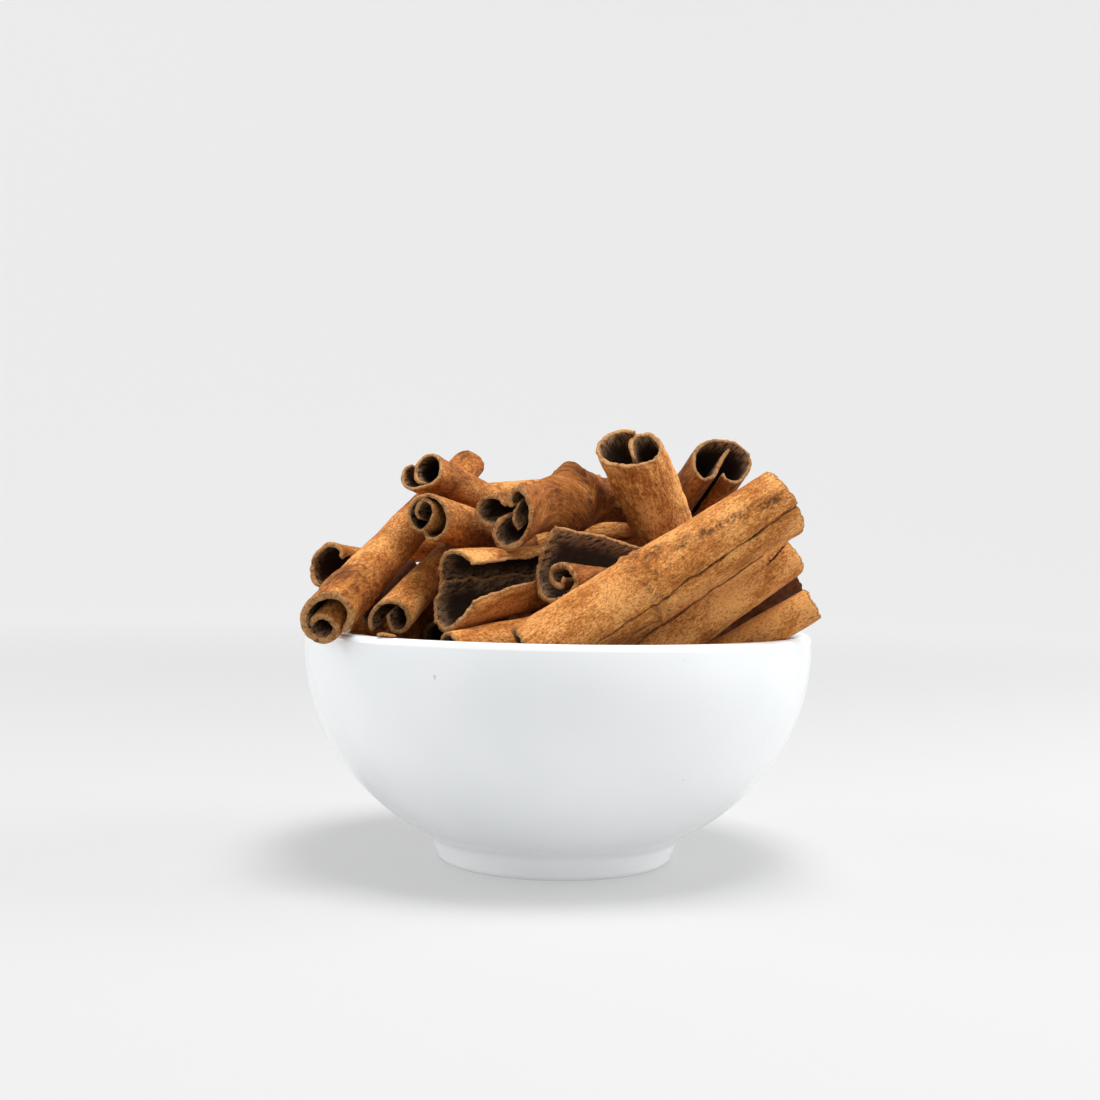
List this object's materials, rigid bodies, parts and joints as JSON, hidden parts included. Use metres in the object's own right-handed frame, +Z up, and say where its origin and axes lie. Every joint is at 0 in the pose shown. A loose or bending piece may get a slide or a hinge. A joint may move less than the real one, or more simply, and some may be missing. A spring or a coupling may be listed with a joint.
{
  "type": "bowl of cinnamon sticks",
  "caption": "White footed bowl heaped with loose rolled cinnamon sticks, to stand on a table, counter or shelf.",
  "frame": {"origin": "on the floor under the middle of the bowl's foot", "axes": "+Z up the bowl's axis, -Y towards the front, the side the picture shows, +X to the right seen from there"},
  "size_m": [0.13, 0.13, 0.1104],
  "materials": {
    "glaze": "smooth glossy white glaze",
    "bark": "dry matt rolled bark with rough torn edges",
    "buried_bark": "dry matt bark in deep shade"
  },
  "bodies": {
    "root": {"bowl": "glaze", "buried_bark": "buried_bark", "rim_left": "bark", "left_low": "bark", "left_back": "bark", "scroll": "bark", "top_left": "bark", "knuckle": "bark", "gaping": "bark", "open_roll": "bark", "upright": "bark", "two_lobes": "bark", "long_front": "bark", "right_second": "bark", "right_third": "bark", "right_dark": "bark", "front_low": "bark", "left_dark": "bark", "behind_open": "bark", "behind_knuckle": "bark", "back_left": "bark", "back_middle": "bark", "back_right": "bark", "back_corner": "bark", "back_across": "bark", "side_right": "bark", "side_left": "bark", "under_left": "bark", "under_open": "bark", "under_back": "bark", "under_corner": "bark", "under_side": "bark", "under_front": "bark"}
  },
  "joints": []
}
